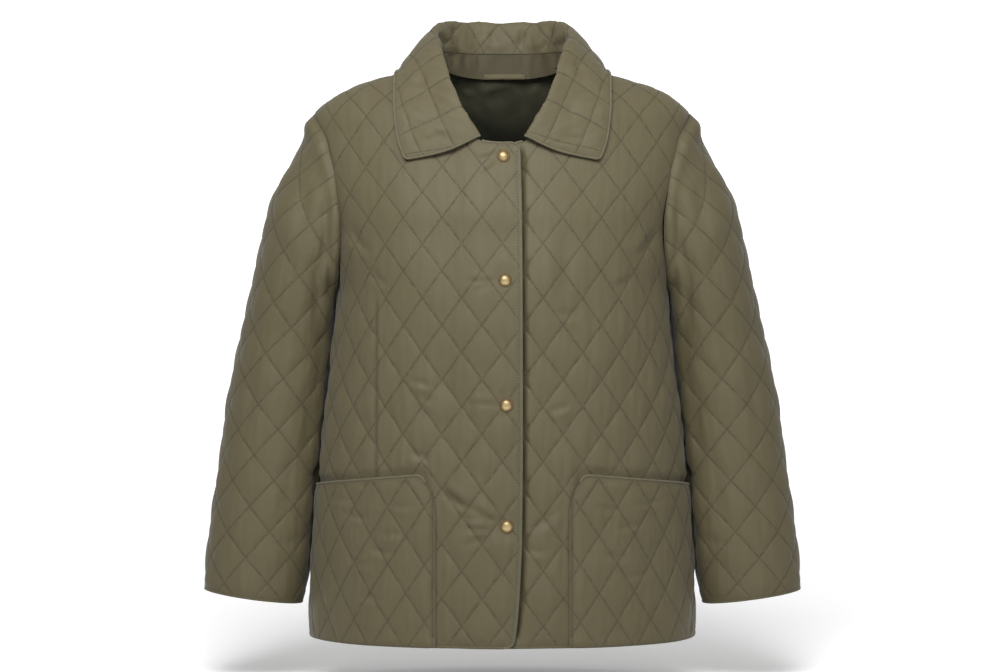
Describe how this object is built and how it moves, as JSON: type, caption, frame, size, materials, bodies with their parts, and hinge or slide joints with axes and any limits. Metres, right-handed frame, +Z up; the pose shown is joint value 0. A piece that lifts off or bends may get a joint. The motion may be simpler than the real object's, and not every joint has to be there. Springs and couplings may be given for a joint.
{
  "type": "quilted jacket",
  "caption": "Women's hip-length quilted jacket with a fold-down collar, snap front and bound patch pockets, filled out as worn and hollow inside.",
  "frame": {"origin": "middle of the neck opening at the level of the shoulders' highest points, where the wearer's shoulders hold the jacket", "axes": "+X to the wearer's left, -Y to the front, +Z up"},
  "size_m": [0.706, 0.2822, 0.7368],
  "materials": {
    "shell": "olive diamond-quilted polyester",
    "binding": "olive woven binding tape",
    "lining": "smooth dark olive lining",
    "brass": "antique brass"
  },
  "bodies": {
    "root": {"back": "shell", "back_lining": "lining", "collar": "shell", "collar_piping": "binding", "collar_stand": "shell", "cuff_binding_left": "binding", "cuff_binding_right": "binding", "front_binding_right": "binding", "front_left": "shell", "front_right": "shell", "hanger_loop": "binding", "hem_binding": "binding", "neck_binding_left": "binding", "pocket_binding_left": "binding", "pocket_binding_right": "binding", "pocket_left": "shell", "pocket_right": "shell", "sleeve_left": "shell", "sleeve_right": "shell", "snap_1": "brass", "snap_2": "brass", "snap_3": "brass", "snap_4": "brass"}
  },
  "joints": []
}
